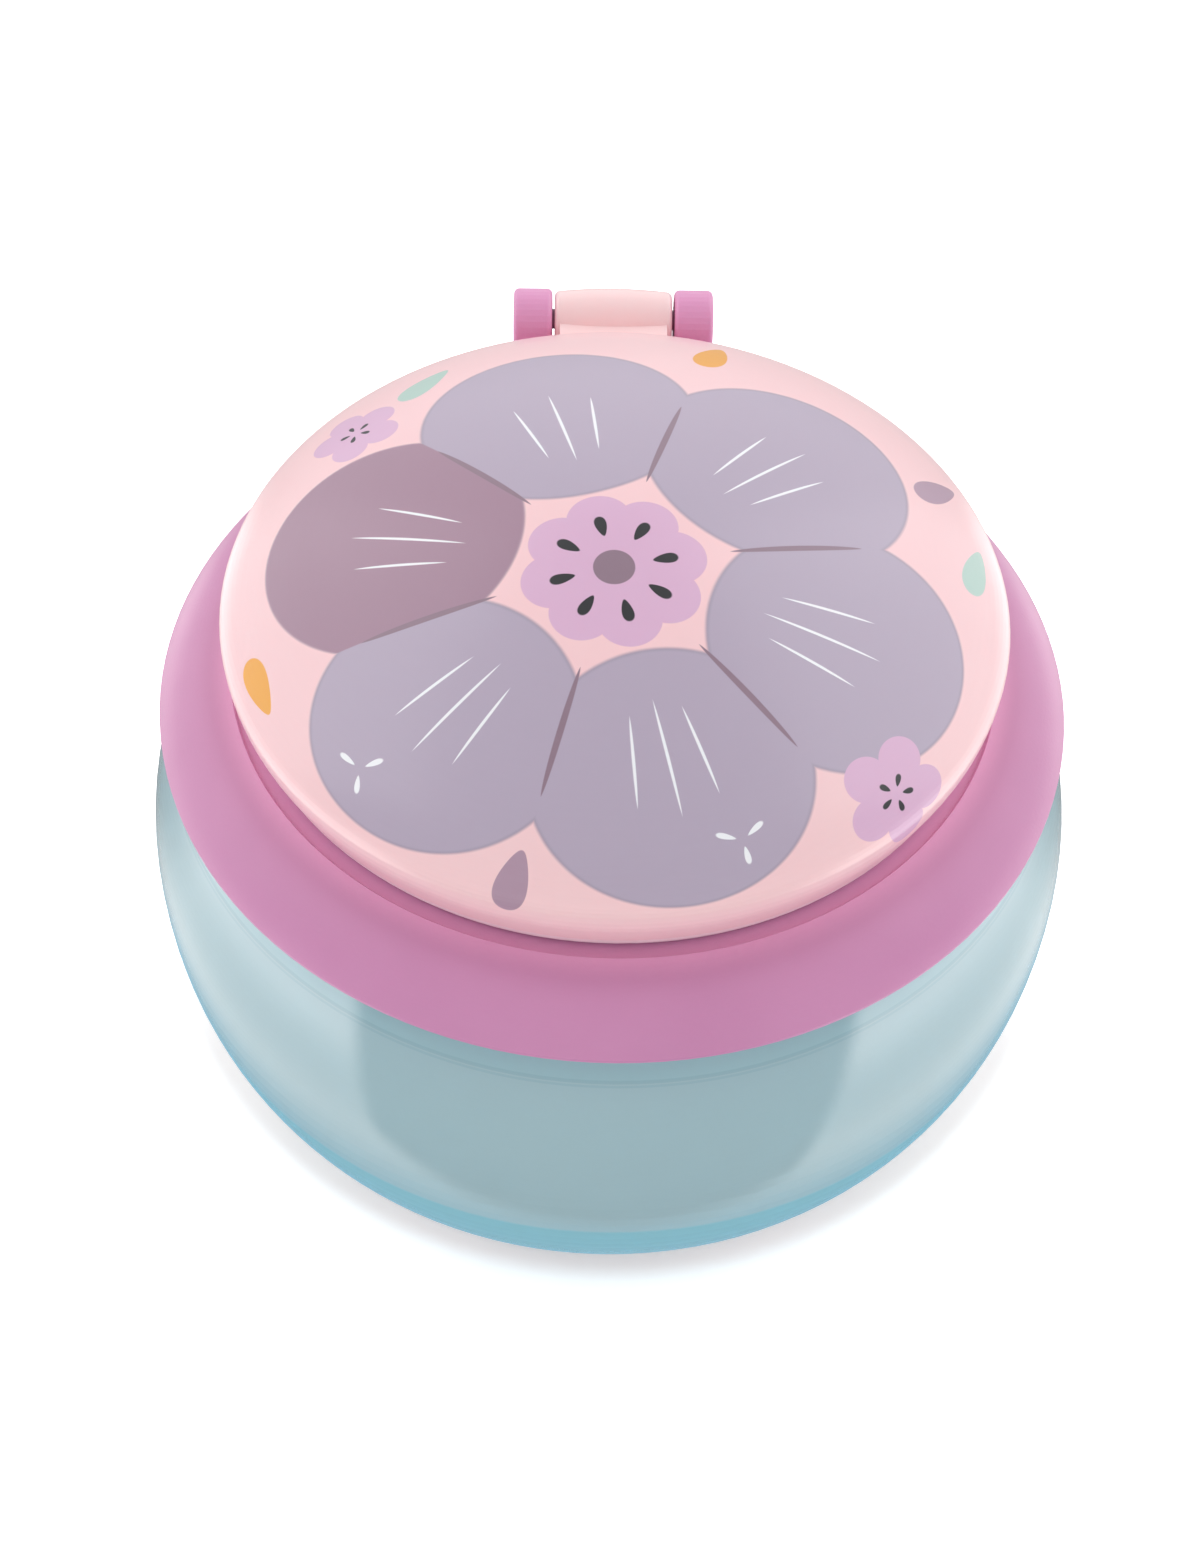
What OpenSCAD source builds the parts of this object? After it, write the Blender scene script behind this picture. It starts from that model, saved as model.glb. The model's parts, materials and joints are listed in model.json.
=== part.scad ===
// Toddler snack cup: a squat translucent bowl, a sloping screw-on collar that traps a
// soft flap insert, and a domed flip lid on a pin hinge at the back.
// Millimetres. +Z is up, the foot stands on z = 0 and the hinge is at the back, +Y.

/* [Bowl] */
// Widest diameter of the bowl
bowl_d = 112; // [108:0.5:118]
// Height of the widest level above the table
belly_z = 28; // [22:0.5:34]
// Outer diameter of the foot that it stands on
foot_d = 85; // [76:0.5:92]
// Width of the ring-shaped foot
foot_w = 3; // [2:0.1:5]
// Depth of the hollow inside the foot
foot_hollow = 0.8; // [0.4:0.1:1.4]
// Thickness of the side wall
bowl_wall = 2.2; // [1.6:0.1:2.8]
// Thickness of the floor above the foot hollow's rim
floor_t = 3; // [2.2:0.1:4]
// Extra thickness inside the bottom corner
corner_fill = 2.5; // [0:0.1:4]
// Height of the shoulder that the collar comes down to
shoulder_z = 50.6; // [46:0.2:56]
// Diameter at the shoulder
shoulder_d = 101; // [98:0.5:104]
// How sharply the upper wall turns in towards the shoulder
shoulder_turn = 2.2; // [1.6:0.1:3]
// Radius of the shoulder's edge
shoulder_round = 1; // [0.4:0.1:1.6]
// Height of the neck above the shoulder
neck_h = 4; // [3.4:0.1:6]
// Thickness of the neck
neck_wall = 2; // [1.4:0.1:2.6]
// Chamfer on the neck's rim
rim_chamfer = 0.4; // [0.1:0.1:0.6]

/* [Collar] */
// Outer diameter of the collar at its lower edge
collar_d = 106; // [104:0.5:110]
// Gap between the collar's lower edge and the bowl's shoulder
skirt_gap = 0.6; // [0.3:0.1:1]
// Height of the upright edge at the foot of the slope
collar_edge_h = 0.8; // [0.5:0.1:1.4]
// How far the slope swells out from a straight cone
slope_crown = 1; // [0.5:0.1:1.6]
// Thickness of the sloping shell
collar_wall = 1.6; // [1.2:0.1:2]
// Thickness of the deck that the lid closes on
deck_t = 1.6; // [1.2:0.1:2.4]
// Space between the lid's rim and the wall of the recess round it
recess_margin = 1.8; // [1:0.1:2.4]
// Depth of the recess that the lid's rim sits in
recess_depth = 0.5; // [0.3:0.1:0.8]
// Width of the rounded lip round the recess
lip_w = 0.8; // [0.6:0.1:1.2]
// Thickness of the inner skirt that screws on the neck
skirt_wall = 1.6; // [1.2:0.1:2]
// Space for the threads between the neck and the inner skirt
thread_space = 1.4; // [1.1:0.1:1.8]
// Height of the spigot ring that the lid snaps over
spigot_h = 2.7; // [2.5:0.1:3.4]
// Thickness of the spigot ring
spigot_wall = 1.8; // [1.3:0.1:2.2]
// How far the spigot's snap bead stands out
spigot_bead = 0.4; // [0.2:0.1:0.5]
// Chamfer along the collar's lower edge
edge_chamfer = 0.4; // [0.2:0.1:0.6]

/* [Flap insert] */
// Thickness of the flange that is clamped on the neck's rim
flange_t = 1.2; // [0.9:0.1:1.8]
// Slack over the flange, so that the collar can turn
clamp_slack = 0.1; // [0.05:0.05:0.2]
// Thickness of the insert's upright ring
insert_wall = 1.8; // [1.4:0.1:2.4]
// How far the insert's ring stays below the spigot's top
insert_inset = 0.6; // [0.3:0.1:1]
// How deep the flaps lie below the top of the insert's ring
flap_depth = 1.4; // [1:0.1:2]
// Thickness of a flap
flap_t = 1.2; // [1:0.1:1.4]
// Thickness left at a flap's root, where it bends
flap_root_t = 0.7; // [0.5:0.05:0.8]
// Width of the thinned strip at the root
root_groove = 1; // [0.6:0.1:1.6]
// Width of the solid border round the flaps
flap_border = 2.4; // [1.8:0.1:4]
// Width of the slits between the flaps
slit_w = 0.6; // [0.4:0.1:1.2]
// Radius of the holes that end the slits
slit_hole_r = 0.9; // [0.6:0.1:1.2]
// Downward slope of the closed flaps, in degrees
flap_tilt = 5; // [3:0.5:8]
// Radius of the rounded flap tips
flap_tip_r = 1.2; // [0.8:0.1:2]
// Chamfer along the top of the insert's ring
insert_chamfer = 0.5; // [0.2:0.1:0.6]

/* [Lid] */
// Outer diameter of the lid's rim
lid_rim_d = 84.6; // [80:0.2:86]
// Widest diameter of the lid, at its edge
lid_edge_d = 89.4; // [87.4:0.2:91]
// Height of the edge above the rim
lid_edge_h = 7.9; // [6.5:0.1:9]
// Height of the dome above the edge
dome_h = 15.5; // [12:0.1:20]
// Fullness of the dome: 2 is an ellipse and less is flatter sided
dome_fullness = 1.6; // [1.5:0.05:2]
// Share of the side's height that leans out straight before it turns upright
lid_lean_part = 0.6; // [0.4:0.05:0.7]
// Thickness of the lid
lid_wall = 1.8; // [1.4:0.1:2.2]
// Gap between the closed lid's rim and the deck
seat_gap = 0.2; // [0.1:0.05:0.4]
// How far the lid's snap bead stands in
lid_bead = 0.5; // [0.3:0.1:0.6]
// Height of the snap bead's middle above the rim
lid_bead_h = 0.9; // [0.8:0.05:1]
// Height of the snap bead's flat
lid_bead_flat = 0.3; // [0.2:0.05:0.4]
// Chamfer outside the lid's rim
lid_rim_chamfer = 0.3; // [0.1:0.05:0.4]
// Clearance between the lid's bead and the spigot's bead
snap_gap = 0.8; // [0.7:0.1:1]

/* [Hinge] */
// Distance from the hinge axis in to the collar's lower edge
hinge_inset = 2; // [1.5:0.1:2.5]
// Height of the lid's edge above the hinge axis
hinge_drop = 2; // [1.5:0.1:2.6]
// Radius of the lid's hinge barrel
barrel_r = 3.9; // [3.4:0.1:4.2]
// Length of the barrel
barrel_w = 14.9; // [11:0.1:20]
// How far the barrel's middle swells beyond its ends
barrel_crown = 0.35; // [0.1:0.05:0.6]
// Width of each ear
ear_w = 4.9; // [3.5:0.1:6.5]
// Radius of the ears round the pin
ear_r = 3.8; // [3.3:0.1:4.2]
// Radius of the edges of the ears and barrel
hinge_round = 0.7; // [0.4:0.1:1]
// Gap between the barrel and each ear
ear_gap = 0.3; // [0.2:0.05:0.5]
// Thickness of the web that joins the barrel to the lid
web_t = 3.6; // [2.8:0.1:4.4]
// How far the top of the web lies below the lid's edge
web_drop = 0.2; // [0:0.1:0.6]
// How much deeper the web is where it meets the lid
web_fillet = 1; // [0.4:0.1:1.4]
// Radius of the hinge pin
pin_r = 1.25; // [1:0.05:1.6]
// Radial clearance of the pin in the ears, which grip it
pin_grip_gap = 0.01; // [0.005:0.005:0.02]
// Radial running clearance of the barrel on the pin
pin_run_gap = 0.05; // [0.03:0.01:0.08]
// How far the pin's ends lie inside the ears' outer faces
pin_inset = 0.3; // [0.1:0.1:0.8]
// Length of the stepped lead-in at each end of the pin
pin_lead_in = 0.3; // [0.2:0.1:0.5]

/* [Hidden] */
FLAPS = 6;
$fn = 96;
STEPS = 20;             // steps along each curved outline
PAST = 1;               // how far a cut runs past the face that it opens
FIT = 0.3;              // clearance round the insert inside the collar
neck_round = 1.2;       // rounding inside the bowl, below the neck
shoulder_lean = 15;     // angle at which the shoulder's rounding starts
lip_drop = 0.1;         // how far the lip's inner edge lies below the slope's head
lip_rise = 0.15;        // how far the lip's crest stands above it
spigot_chamfer = 0.3;   // lead-in on top of the spigot
ear_lean = 2.2;         // how far the ears' feet stand in front of the axis
ear_foot = 0.4;         // how much slimmer the ears are at the foot
pin_step = 0.15;        // how much slimmer the pin is along its lead-in
web_share = 0.6;        // share of the barrel's radius that the web covers

bowl_r = bowl_d / 2;
foot_r = foot_d / 2;
shoulder_r = shoulder_d / 2;
collar_r = collar_d / 2;
lid_rim_r = lid_rim_d / 2;
lid_edge_r = lid_edge_d / 2;

rim_z = shoulder_z + neck_h;                        // top of the neck
roof_z = rim_z + flange_t + clamp_slack;            // underside of the collar's deck
seat_z = roof_z + deck_t;                           // deck that the lid closes on
lid_z = seat_z + seat_gap;                          // underside of the lid's rim
lid_edge_z = lid_z + lid_edge_h;
skirt_z = shoulder_z + skirt_gap;                   // lower edge of the collar

recess_r = lid_rim_r + recess_margin;               // wall of the recess round the lid
neck_r = recess_r - 0.5;                            // the neck stands under the recess
skirt_in_r = neck_r + thread_space;
skirt_out_r = skirt_in_r + skirt_wall;
spigot_r = lid_rim_r - lid_wall - lid_bead - snap_gap - spigot_bead;
spigot_top = seat_z + spigot_h;
mouth_r = spigot_r - spigot_wall;                   // opening of the collar
insert_out_r = mouth_r - FIT;
insert_in_r = insert_out_r - insert_wall;
insert_top = spigot_top - insert_inset;
flap_z = insert_top - flap_depth - flap_t;          // underside of the flaps at the root
slit_end_r = insert_in_r - flap_border;             // corners of the flaps' hexagon
flap_len = slit_end_r * cos(180 / FLAPS);           // hinge line to the middle
flap_gap = 0.4;                                     // root gap that the bend needs

hinge_y = collar_r - hinge_inset;
hinge_z = lid_edge_z - hinge_drop;
ear_x = barrel_w / 2 + ear_gap;                     // inner face of an ear

// The slope of the collar is an arc through these two points
slope_foot = [collar_r, skirt_z + collar_edge_h];
slope_head = [recess_r + lip_w, seat_z + recess_depth];
slope_chord = slope_foot - slope_head;
slope_rho = (pow(norm(slope_chord), 2) / 4 + pow(slope_crown, 2)) / (2 * slope_crown);
slope_out = [-slope_chord[1], slope_chord[0]] / norm(slope_chord);
slope_mid = (slope_foot + slope_head) / 2 - slope_out * (slope_rho - slope_crown);

// Angle and height of a point on the arc of radius rho round the slope's centre
function slope_angle(r, rho) = acos((r - slope_mid[0]) / rho);
function on_slope(a, rho) = slope_mid + rho * [cos(a), sin(a)];

// Points of an elliptical arc
function arc(c, rx, ry, a0, a1, n = STEPS) =
    [for (i = [0:n]) let (a = a0 + (a1 - a0) * i / n) c + [rx * cos(a), ry * sin(a)]];

// Upper wall, which turns in from the belly at a to the shoulder at b
function upper_wall(a, b) =
    [for (i = [1:STEPS]) let (k = i / STEPS)
        [a[0] + (b[0] - a[0]) * pow(k, shoulder_turn), a[1] + (b[1] - a[1]) * k]];

function reversed(pts) = [for (i = [len(pts) - 1:-1:0]) pts[i]];

// Side of the lid: it leans outwards from the rim and turns upright at the edge
function lid_side(rim_r, edge_r) =
    let (lean = (edge_r - rim_r) / (1 + lid_lean_part))
    [for (i = [1:8]) let (k = i / 8, over = max(k - lid_lean_part, 0))
        [rim_r + 2 * lean * (k - over * over / (1 - lid_lean_part) / 2), lid_z + lid_edge_h * k]];

// A dome: quarter of a superellipse from the edge up to the middle
function dome(r, z, h) =
    [for (i = [0:2 * STEPS]) let (a = 45 * i / STEPS)
        [r * pow(cos(a), 2 / dome_fullness), z + h * pow(sin(a), 2 / dome_fullness)]];

// A disc on the X axis with rounded edges, swelling by crown in the middle
module round_disc(r, w, edge, crown = 0) {
    rotate([0, 90, 0])
    rotate_extrude()
    polygon(concat(
        [[0, -w / 2]],
        arc([r - crown - edge, -w / 2 + edge], edge, edge, -90, 0, 6),
        [for (i = [1:7]) let (k = i / 4 - 1)
            [r - crown * k * k, k * (w / 2 - edge)]],
        arc([r - crown - edge, w / 2 - edge], edge, edge, 0, 90, 6),
        [[0, w / 2]]));
}

// Bowl: outer and inner outlines, revolved together
module bowl() {
    in_foot_r = foot_r - corner_fill;
    in_belly = [bowl_r - bowl_wall, belly_z];
    in_shoulder = [shoulder_r - bowl_wall, shoulder_z - bowl_wall];
    neck_in_r = neck_r - neck_wall;
    color([0.62, 0.78, 0.83, 0.7])
    rotate_extrude()
    polygon(concat(
        [[0, foot_hollow], [foot_r - foot_w - foot_hollow, foot_hollow], [foot_r - foot_w, 0]],
        arc([foot_r, belly_z], bowl_r - foot_r, belly_z, -90, 0),
        upper_wall([bowl_r, belly_z], [shoulder_r, shoulder_z - shoulder_round]),
        arc([shoulder_r - shoulder_round, shoulder_z - shoulder_round],
            shoulder_round, shoulder_round, shoulder_lean, 90, 5),
        [[neck_r, shoulder_z], [neck_r, rim_z - rim_chamfer], [neck_r - rim_chamfer, rim_z],
         [neck_in_r + rim_chamfer, rim_z], [neck_in_r, rim_z - rim_chamfer]],
        arc([neck_in_r + neck_round, in_shoulder[1] + neck_round],
            neck_round, neck_round, 180, 270, 6),
        reversed(upper_wall(in_belly, in_shoulder)),
        arc([in_foot_r, belly_z], in_belly[0] - in_foot_r, belly_z - floor_t, 0, -90),
        [[0, floor_t]]));
}

// Collar: a sloping shell, the recessed deck, the spigot ring and the inner skirt
module collar() {
    foot_a = slope_angle(slope_foot[0], slope_rho);
    head_a = slope_angle(slope_head[0], slope_rho);
    in_rho = slope_rho - collar_wall;
    in_a = slope_angle(skirt_out_r, in_rho);
    bead_z = spigot_top - spigot_chamfer - spigot_bead;
    color([0.80, 0.50, 0.70])
    difference() {
        union() {
            rotate_extrude()
            polygon(concat(
                [[0, skirt_z], [collar_r - edge_chamfer, skirt_z],
                 [collar_r, skirt_z + edge_chamfer]],
                [for (i = [0:STEPS])
                    on_slope(foot_a + (head_a - foot_a) * i / STEPS, slope_rho)],
                [[recess_r + lip_w / 4, slope_head[1] + lip_rise],
                 [recess_r, slope_head[1] - lip_drop],
                 [recess_r, seat_z], [spigot_r, seat_z], [spigot_r, bead_z - spigot_bead],
                 [spigot_r + spigot_bead, bead_z], [spigot_r, bead_z + spigot_bead],
                 [spigot_r - spigot_chamfer, spigot_top], [0, spigot_top]]));
            for (side = [-1, 1]) ear(side);
        }
        // the opening, the room for the neck and the hollow under the slope
        translate([0, 0, skirt_z - PAST])
        cylinder(r = mouth_r, h = spigot_top - skirt_z + 2 * PAST);
        translate([0, 0, skirt_z - PAST])
        cylinder(r = skirt_in_r, h = roof_z - skirt_z + PAST);
        rotate_extrude()
        polygon(concat(
            [[skirt_out_r, skirt_z - PAST], [collar_r - collar_wall, skirt_z - PAST]],
            [for (i = [0:STEPS]) on_slope(foot_a + (in_a - foot_a) * i / STEPS, in_rho)]));
        translate([0, hinge_y, hinge_z])
        rotate([0, 90, 0])
        cylinder(r = pin_r + pin_grip_gap, h = 2 * (ear_x + ear_w + PAST), center = true);
    }
}

// Ear of the hinge, standing on the back of the slope
module ear(side) {
    translate([side * (ear_x + ear_w / 2), 0, 0])
    hull() {
        translate([0, hinge_y, hinge_z])
        round_disc(ear_r, ear_w, hinge_round, $fn = 32);
        translate([0, hinge_y - ear_lean, skirt_z + ear_r])
        round_disc(ear_r - ear_foot, ear_w, hinge_round, $fn = 32);
    }
}

// Pin: pressed through the ears, and the lid's barrel turns on it
module hinge_pin() {
    pin_l = 2 * (ear_x + ear_w - pin_inset);
    color([0.78, 0.47, 0.68])
    translate([0, hinge_y, hinge_z])
    rotate([0, 90, 0])
    union() {
        cylinder(r = pin_r, h = pin_l - 2 * pin_lead_in, center = true);
        for (end = [-1, 1])
            translate([0, 0, end * (pin_l - pin_lead_in) / 2])
            cylinder(r = pin_r - pin_step, h = pin_lead_in, center = true);
    }
}

// Flap ring: the flange under the deck, the upright ring and the border of the flaps
module flap_ring() {
    color([0.93, 0.80, 0.84])
    difference() {
        rotate_extrude()
        polygon([
            [0, flap_z], [insert_in_r, flap_z], [insert_in_r, rim_z],
            [neck_r - FIT, rim_z], [neck_r - FIT, rim_z + flange_t],
            [insert_out_r, rim_z + flange_t], [insert_out_r, insert_top - insert_chamfer],
            [insert_out_r - insert_chamfer, insert_top],
            [insert_in_r + insert_chamfer, insert_top],
            [insert_in_r, insert_top - insert_chamfer], [insert_in_r, flap_z + flap_t],
            [0, flap_z + flap_t]]);
        translate([0, 0, flap_z - PAST])
        linear_extrude(flap_t + 2 * PAST)
        polygon([for (i = [0:FLAPS - 1])
            slit_end_r * [cos(360 * i / FLAPS), sin(360 * i / FLAPS)]]);
        slit_holes();
    }
}

// Round holes where the slits end
module slit_holes() {
    for (i = [0:FLAPS - 1])
        rotate([0, 0, 360 * i / FLAPS])
        translate([slit_end_r, 0, flap_z - PAST])
        cylinder(r = slit_hole_r, h = flap_t + 2 * PAST);
}

// Half the width of a flap at distance u inwards of its hinge line
function flap_half(u) =
    (flap_len - u) * tan(180 / FLAPS) - slit_w / 2 / cos(180 / FLAPS);

// Flap i: a flat wedge that slopes down from its thinned root to a rounded tip
module flap(i) {
    half_a = 180 / FLAPS;
    tip_u = flap_len - (flap_tip_r + slit_w / 2) / sin(half_a);
    color([0.95, 0.84, 0.87])
    difference() {
        rotate([0, 0, (i - 0.5) * 360 / FLAPS])
        translate([flap_len, 0, flap_z])
        rotate([0, -flap_tilt, 0])
        difference() {
            linear_extrude(flap_t)
            polygon(concat(
                [[-flap_gap, -flap_half(flap_gap)], [-flap_gap, flap_half(flap_gap)]],
                arc([-tip_u, 0], flap_tip_r, flap_tip_r, 90 + half_a, 270 - half_a, 8)));
            translate([-flap_gap - root_groove, -slit_end_r, flap_root_t])
            cube([root_groove + PAST, 2 * slit_end_r, flap_t]);
        }
        slit_holes();
    }
}

// Lid: the domed shell, with the barrel and the web that joins it to the back
module lid() {
    bead_z = lid_z + lid_bead_h;
    bead_flat = lid_bead_flat / 2;
    in_rim_r = lid_rim_r - lid_wall;
    in_edge_r = lid_edge_r - lid_wall;
    color([0.98, 0.84, 0.85])
    difference() {
        union() {
            rotate_extrude()
            polygon(concat(
                [[0, lid_z], [lid_rim_r - lid_rim_chamfer, lid_z],
                 [lid_rim_r, lid_z + lid_rim_chamfer]],
                lid_side(lid_rim_r, lid_edge_r),
                dome(lid_edge_r, lid_edge_z, dome_h)));
            lid_web();
            translate([0, hinge_y, hinge_z])
            round_disc(barrel_r, barrel_w, hinge_round, barrel_crown);
        }
        rotate_extrude()
        polygon(concat(
            [[0, lid_z - PAST], [in_rim_r, lid_z - PAST],
             [in_rim_r, bead_z - bead_flat - lid_bead], [in_rim_r - lid_bead, bead_z - bead_flat],
             [in_rim_r - lid_bead, bead_z + bead_flat]],
            [for (p = lid_side(in_rim_r, in_edge_r)) if (p[1] > bead_z + bead_flat + lid_bead) p],
            dome(in_edge_r, lid_edge_z, dome_h - lid_wall)));
        translate([0, hinge_y, hinge_z])
        rotate([0, 90, 0])
        cylinder(r = pin_r + pin_run_gap, h = barrel_w + 2 * PAST, center = true);
    }
}

// Web from the lid's back wall to the barrel, with a hollow under it
module lid_web() {
    top_z = lid_edge_z - web_drop;
    foot_z = top_z - web_t;
    back_y = lid_rim_r - 2 * lid_wall;
    web_w = barrel_w - 2 * hinge_round;
    translate([-web_w / 2, 0, 0])
    rotate([90, 0, 90])
    linear_extrude(web_w)
    polygon([
        [back_y, top_z], [back_y, foot_z - web_fillet], [lid_edge_r, foot_z - web_fillet / 2],
        [hinge_y - barrel_r * web_share, foot_z], [hinge_y, hinge_z - barrel_r * web_share],
        [hinge_y, top_z]]);
}

bowl();
collar();
hinge_pin();
flap_ring();
for (i = [1:FLAPS])
    flap(i);
lid();
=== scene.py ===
"""Looks of the toddler snack cup: a translucent bowl, a satin screw-on collar, a soft flap
insert and a glossy printed flip lid. Metres, +Z up, the hinge at the back (+Y)."""

import json
import math

import bpy
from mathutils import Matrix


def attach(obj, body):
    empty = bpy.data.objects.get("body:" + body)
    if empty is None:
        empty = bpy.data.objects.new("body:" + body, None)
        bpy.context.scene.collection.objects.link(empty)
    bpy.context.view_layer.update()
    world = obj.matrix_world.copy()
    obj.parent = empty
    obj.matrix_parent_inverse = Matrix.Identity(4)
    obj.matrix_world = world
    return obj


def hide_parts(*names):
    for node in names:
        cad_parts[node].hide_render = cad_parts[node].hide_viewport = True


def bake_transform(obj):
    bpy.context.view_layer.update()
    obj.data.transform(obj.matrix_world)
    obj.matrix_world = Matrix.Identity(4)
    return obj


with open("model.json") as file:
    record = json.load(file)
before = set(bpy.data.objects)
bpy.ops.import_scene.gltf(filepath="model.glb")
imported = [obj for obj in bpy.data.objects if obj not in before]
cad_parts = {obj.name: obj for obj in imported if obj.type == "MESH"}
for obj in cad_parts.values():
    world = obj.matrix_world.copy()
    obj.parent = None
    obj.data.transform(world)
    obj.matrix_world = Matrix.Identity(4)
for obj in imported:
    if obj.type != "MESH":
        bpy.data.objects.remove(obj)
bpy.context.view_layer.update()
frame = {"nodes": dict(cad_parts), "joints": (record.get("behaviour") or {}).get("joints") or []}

# ---------------------------------------------------------------------------------------
# Camera: a still-life view from the front, about 51 degrees above the table and close
# enough that the near side of the cup looms larger than the hinge.
# ---------------------------------------------------------------------------------------
CAMERA_LOOKS_AT = (-0.0012, 0.0, 0.0346)
CAMERA_DISTANCE = 0.2964
CAMERA_ELEVATION = math.radians(50.7)
CAMERA_AZIMUTH = math.radians(-1.35)
CAMERA_ROLL = math.radians(-1.65)
FRAME_HEIGHT = 36.0
LENS = 55.9


def stand_camera():
    """Places the camera on its sphere round the cup and rolls it a little"""
    bpy.ops.object.camera_add()
    camera = bpy.context.object
    camera.name = "still_life_camera"
    rise, run = math.sin(CAMERA_ELEVATION), math.cos(CAMERA_ELEVATION)
    camera.location = (
        CAMERA_LOOKS_AT[0] + CAMERA_DISTANCE * run * math.sin(CAMERA_AZIMUTH),
        CAMERA_LOOKS_AT[1] - CAMERA_DISTANCE * run * math.cos(CAMERA_AZIMUTH),
        CAMERA_LOOKS_AT[2] + CAMERA_DISTANCE * rise,
    )
    camera.rotation_euler = (math.radians(90) - CAMERA_ELEVATION, 0, CAMERA_AZIMUTH)
    camera.rotation_euler.rotate_axis("Z", -CAMERA_ROLL)
    camera.data.sensor_fit = "VERTICAL"
    camera.data.sensor_height = camera.data.sensor_width = FRAME_HEIGHT
    camera.data.lens = LENS
    camera.data.clip_start = 0.01
    bpy.context.scene.camera = camera


stand_camera()

# ---------------------------------------------------------------------------------------
# Studio: white paper under the cup, two big soft boxes at its sides, a little behind it, and
# a weaker one at the back, so that the front stays darker. A low one in front fills it.
# ---------------------------------------------------------------------------------------
FLOOR_SIZE = 3.0
PAPER = (0.93, 0.93, 0.93, 1)
PAPER_SEEN = (1.98, 1.90, 1.88, 1)
PAPER_SHADED = (1.55, 1.28, 1.23, 1)
PAPER_SHADED_SIDE = (1.36, 1.21, 1.17, 1)
PAPER_GLOW = 0.2
SHADE_MIDDLE = (0.0005, 0.0092)
SHADE_FROM, SHADE_TO = 0.0578, 0.0614
SHADE_BACK_Y, SHADE_FRONT_Y = 0.0, -0.02
SHADE_MIDDLE_X, SHADE_SIDE_X = 0.015, 0.04
TENT_SIDES = (1.25, 1.24, 1.23, 1)
TENT_FAR = (3.0, 2.9, 2.85, 1)
TENT_FAR_FROM, TENT_FAR_TO = 0.09, 0.18
TENT_FRONT = (0.12, 0.14, 0.15, 1)
TENT_NEAR = (0.28, 0.52, 0.66, 1)
TENT_NEAR_FROM, TENT_NEAR_TO = 0.057, 0.077
TENT_FRONT_START = (-0.006, -0.033)
TENT_FRONT_SPREAD = 1.43
TENT_FRONT_EDGE = -0.062
TENT_FRONT_BLUR = 0.16
TENT_EDGE_BLUR = 0.004
TENT_BACK_FROM, TENT_BACK_TO = -0.01, 0.03
TENT_BACK_DIM = 0.85
TENT_BESIDE_DIM = 0.2
TENT_BESIDE_SLOPE = 0.8
TENT_BESIDE_FROM, TENT_BESIDE_TO = -0.02, 0.04
WHITE = (1.0, 1.0, 1.0, 1)
ROOM = (0.97, 0.98, 1.0, 1)
ROOM_STRENGTH = 0.6
ROOM_IN_GLOSS = 0.55
SOFT_BOX_AIM_Z = 0.04
SOFT_BOXES = (
    # name, place, width and height, watts, seen in gloss
    ("left_box", (-0.80, 0.34, 0.62), (1.2, 1.2), 5.0, True),
    ("right_box", (0.80, 0.34, 0.62), (1.2, 1.2), 4.9, True),
    ("back_box", (0.0, 0.95, 0.55), (1.6, 0.8), 1.7, True),
    ("low_box", (0.0, -0.90, 0.15), (1.0, 0.24), 1.8, False),
)


class Wire:
    """One output of a shader node, which plain arithmetic can be written on"""

    def __init__(self, tree, socket=None):
        self.tree = tree
        self.socket = socket

    def node(self, kind, settings=(), values=(), output=0):
        """Adds a node: its settings first, then values or wires on its sockets"""
        node = self.tree.nodes.new("ShaderNode" + kind)
        for name, value in dict(settings).items():
            setattr(node, name, value)
        for name, value in dict(values).items():
            if isinstance(value, Wire):
                self.tree.links.new(value.socket, node.inputs[name])
            else:
                node.inputs[name].default_value = value
        return Wire(self.tree, node.outputs[output] if node.outputs else None)

    def maths(self, operation, first, second=0.0):
        """A Math node on one or two values"""
        return self.node("Math", {"operation": operation}, {0: first, 1: second})

    def __add__(self, other):
        return self.maths("ADD", self, other)

    def __sub__(self, other):
        return self.maths("SUBTRACT", self, other)

    def __mul__(self, other):
        return self.maths("MULTIPLY", self, other)

    def __truediv__(self, other):
        return self.maths("DIVIDE", self, other)

    def __pow__(self, other):
        return self.maths("POWER", self, other)

    def __rsub__(self, other):
        return self.maths("SUBTRACT", other, self)

    def __rtruediv__(self, other):
        return self.maths("DIVIDE", other, self)

    __radd__ = __add__
    __rmul__ = __mul__


def step(value, low, high):
    """Rises smoothly from 0 at low to 1 at high, and falls where low is above high"""
    if low > high:
        return 1 - step(value, high, low)
    return value.node("MapRange", {"interpolation_type": "SMOOTHSTEP"},
                      {"Value": value, "From Min": low, "From Max": high})


def larger(first, second):
    """The larger of a wire and a wire or number"""
    return first.maths("MAXIMUM", first, second)


def size_of(value):
    """The value without its sign"""
    return value.maths("ABSOLUTE", value)


def length(x, y):
    """How far a point lies from the middle"""
    return (x * x + y * y) ** 0.5


def tint(mask, below, above):
    """The colour below where the mask is 0, and above where it is 1"""
    return mask.node("Mix", {"data_type": "RGBA"}, {0: mask, 6: below, 7: above}, 2)


def ray_kinds(wire):
    """Whether the ray is the camera's, in gloss, or through something clear"""
    return [wire.node("LightPath", output=f"Is {ray} Ray")
            for ray in ("Camera", "Glossy", "Transmission")]


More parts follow.
